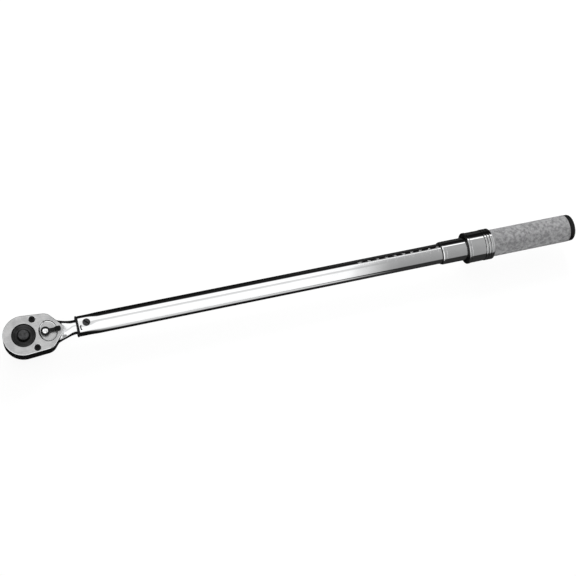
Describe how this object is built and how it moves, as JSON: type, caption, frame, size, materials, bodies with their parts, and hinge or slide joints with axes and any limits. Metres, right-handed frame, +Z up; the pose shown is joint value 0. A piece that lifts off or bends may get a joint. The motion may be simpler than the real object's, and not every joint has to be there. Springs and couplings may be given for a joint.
{
  "type": "torque wrench",
  "caption": "Click-type micrometer torque wrench with a reversible square-drive ratchet head, chrome tube, lock collar and knurled grip.",
  "frame": {"origin": "centre of the drive square's flat tip face", "axes": "+X along the tube from the drive axis to the grip, +Z up out of the head's lever side, along the drive axis; the tip faces -Z"},
  "size_m": [0.6364, 0.0418, 0.0458],
  "materials": {
    "chrome": "bright chrome plate",
    "satin_steel": "satin chrome face",
    "black_oxide": "black oxide",
    "dark_steel": "dark heat-treated steel",
    "bright_steel": "ground steel",
    "spring_steel": "oiled spring steel",
    "knurled_steel": "matt chrome diamond knurl",
    "seal_rubber": "matt black rubber",
    "cap_plastic": "satin black moulding",
    "brass": "machined brass"
  },
  "bodies": {
    "tube_assembly": {"tube": "chrome", "mouth_seal": "seal_rubber", "pivot_pin": "dark_steel", "plunger": "bright_steel", "main_spring": "spring_steel", "adjuster_nut": "brass", "nut_screw_left": "black_oxide", "nut_screw_right": "black_oxide"},
    "head": {"head_body": "chrome", "cover_plate": "satin_steel", "cover_screw_left": "black_oxide", "cover_screw_right": "black_oxide"},
    "gear": {"ratchet_gear": "black_oxide", "button_spring": "spring_steel"},
    "button": {"release_button": "dark_steel", "release_rod": "bright_steel"},
    "detent": {"detent_ball": "bright_steel"},
    "lever": {"reversing_lever": "black_oxide", "pawl_shaft": "dark_steel", "pawl_spring": "spring_steel", "pawl_ball": "bright_steel", "lever_screw": "chrome"},
    "pawl": {"pawl": "dark_steel"},
    "tilt_block": {"tilt_block": "dark_steel"},
    "carriage": {"spring_seat": "bright_steel", "thrust_ball": "bright_steel"},
    "handle": {"thimble": "chrome", "grip": "knurled_steel", "handle_plug": "bright_steel", "plug_pin": "black_oxide", "lock_nut": "bright_steel", "adjusting_screw": "bright_steel", "end_cap": "cap_plastic", "stop_ring": "black_oxide", "lock_ball_left": "bright_steel", "lock_ball_right": "bright_steel", "collar_spring": "spring_steel"},
    "collar": {"lock_collar": "chrome"}
  },
  "joints": [
    {"name": "head_tilt", "type": "hinge", "parent": "tube_assembly", "child": "head", "pos_m": [0.064, 0, 0.0285], "axis": [0, 0, 1], "range_deg": [-1.8, 1.8], "stiffness_Nm_per_rad": 60},
    {"name": "block_tilt", "type": "hinge", "parent": "tube_assembly", "child": "tilt_block", "pos_m": [0.1345, 0, 0.0285], "axis": [0, 0, 1], "range_deg": [-11, 11]},
    {"name": "ratchet_spin", "type": "hinge", "parent": "head", "child": "gear", "pos_m": [0, 0, 0], "axis": [0, 0, 1], "continuous": true},
    {"name": "button_press", "type": "slide", "parent": "gear", "child": "button", "axis": [0, 0, -1], "range_m": [0, 0.0025], "stiffness_N_per_m": 900, "springref_m": -0.002, "deforming": ["button_spring"]},
    {"name": "detent_retract", "type": "slide", "parent": "gear", "child": "detent", "axis": [-1, 0, 0], "range_m": [0, 0.00085]},
    {"name": "lever_flip", "type": "hinge", "parent": "head", "child": "lever", "pos_m": [0.022, 0, 0.034], "axis": [0, 0, 1], "range_deg": [-25, 25]},
    {"name": "pawl_rock", "type": "hinge", "parent": "head", "child": "pawl", "pos_m": [0.022, 0, 0.026], "axis": [0, 0, 1], "range_deg": [-8, 8]},
    {"name": "handle_advance", "type": "slide", "parent": "tube_assembly", "child": "carriage", "axis": [-1, 0, 0], "range_m": [-0.002, 0.04], "deforming": ["main_spring"]},
    {"name": "handle_turn", "type": "hinge", "parent": "carriage", "child": "handle", "pos_m": [0.5, 0, 0.0285], "axis": [-1, 0, 0], "range_deg": [-360, 7200]},
    {"name": "collar_pull", "type": "slide", "parent": "handle", "child": "collar", "axis": [1, 0, 0], "range_m": [0, 0.005], "stiffness_N_per_m": 900, "springref_m": -0.002, "deforming": ["collar_spring"]}
  ],
  "couplings": [
    {"joint": "block_tilt", "follows": "head_tilt", "ratio": -6.05},
    {"joint": "detent_retract", "follows": "button_press", "ratio": 0.34},
    {"joint": "pawl_rock", "follows": "lever_flip", "ratio": 0.32},
    {"joint": "handle_advance", "follows": "handle_turn", "m_per_rad": 0.00031831}
  ]
}
